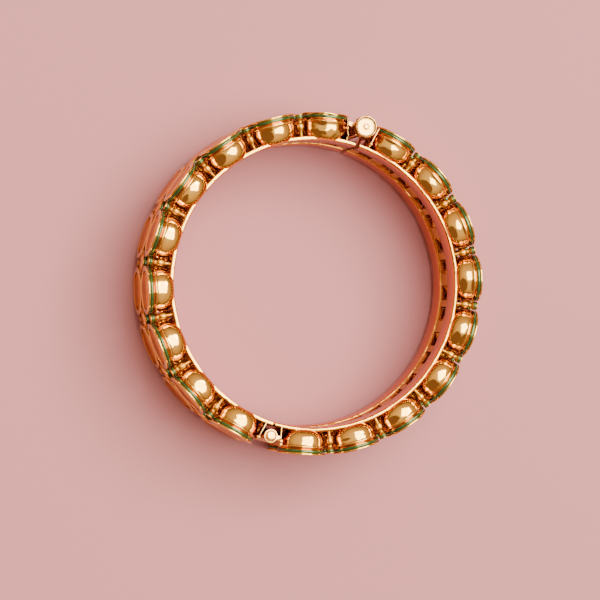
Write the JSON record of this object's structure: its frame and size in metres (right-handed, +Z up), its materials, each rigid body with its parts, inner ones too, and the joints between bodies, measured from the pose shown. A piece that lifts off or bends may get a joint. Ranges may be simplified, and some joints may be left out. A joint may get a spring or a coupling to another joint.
{
  "type": "kundan bangle",
  "caption": "Wide openable bangle: two half rings with rows of round cup settings, flat-backed clear stones, green enamel rims, a pierced inner sleeve, a hinge and a screw clasp.",
  "frame": {"origin": "on the surface that the bangle lies on, under the middle of its outline", "axes": "+Z up along the ring's axis, +Y towards the screw clasp, -Y towards the hinge, +X towards the middle of the right half"},
  "size_m": [0.072, 0.0728, 0.0218],
  "materials": {
    "gold_plate": "cast brass, gold plated and polished, darker in the gaps",
    "gold_fittings": "turned brass, gold plated and polished",
    "green_enamel": "fused green enamel, glossy",
    "kundan_stone": "clear flat-cut stone with gold foil behind it",
    "small_stone": "clear small stone with gold foil behind it"
  },
  "bodies": {
    "left_half": {"left_half": "gold_plate", "left_enamel": "green_enamel", "left_small_stones": "small_stone", "hinge_pin": "gold_fittings", "stone_left_upper_1": "kundan_stone", "stone_left_upper_2": "kundan_stone", "stone_left_upper_3": "kundan_stone", "stone_left_upper_4": "kundan_stone", "stone_left_upper_5": "kundan_stone", "stone_left_upper_6": "kundan_stone", "stone_left_upper_7": "kundan_stone", "stone_left_upper_8": "kundan_stone", "stone_left_upper_9": "kundan_stone", "stone_left_lower_1": "kundan_stone", "stone_left_lower_2": "kundan_stone", "stone_left_lower_3": "kundan_stone", "stone_left_lower_4": "kundan_stone", "stone_left_lower_5": "kundan_stone", "stone_left_lower_6": "kundan_stone", "stone_left_lower_7": "kundan_stone", "stone_left_lower_8": "kundan_stone", "stone_left_lower_9": "kundan_stone"},
    "right_half": {"right_half": "gold_plate", "right_enamel": "green_enamel", "right_small_stones": "small_stone", "stone_right_upper_1": "kundan_stone", "stone_right_upper_2": "kundan_stone", "stone_right_upper_3": "kundan_stone", "stone_right_upper_4": "kundan_stone", "stone_right_upper_5": "kundan_stone", "stone_right_upper_6": "kundan_stone", "stone_right_upper_7": "kundan_stone", "stone_right_upper_8": "kundan_stone", "stone_right_upper_9": "kundan_stone", "stone_right_lower_1": "kundan_stone", "stone_right_lower_2": "kundan_stone", "stone_right_lower_3": "kundan_stone", "stone_right_lower_4": "kundan_stone", "stone_right_lower_5": "kundan_stone", "stone_right_lower_6": "kundan_stone", "stone_right_lower_7": "kundan_stone", "stone_right_lower_8": "kundan_stone", "stone_right_lower_9": "kundan_stone"},
    "clasp_screw": {"clasp_screw": "gold_fittings"}
  },
  "joints": [
    {"name": "opening_hinge", "type": "hinge", "parent": "left_half", "child": "right_half", "pos_m": [0, -0.03353, 0], "axis": [0, 0, -1], "range_deg": [0, 70]},
    {"name": "screw_lift", "type": "slide", "parent": "left_half", "child": "clasp_screw", "axis": [0, 0, 1], "range_m": [0, 0.011]}
  ]
}
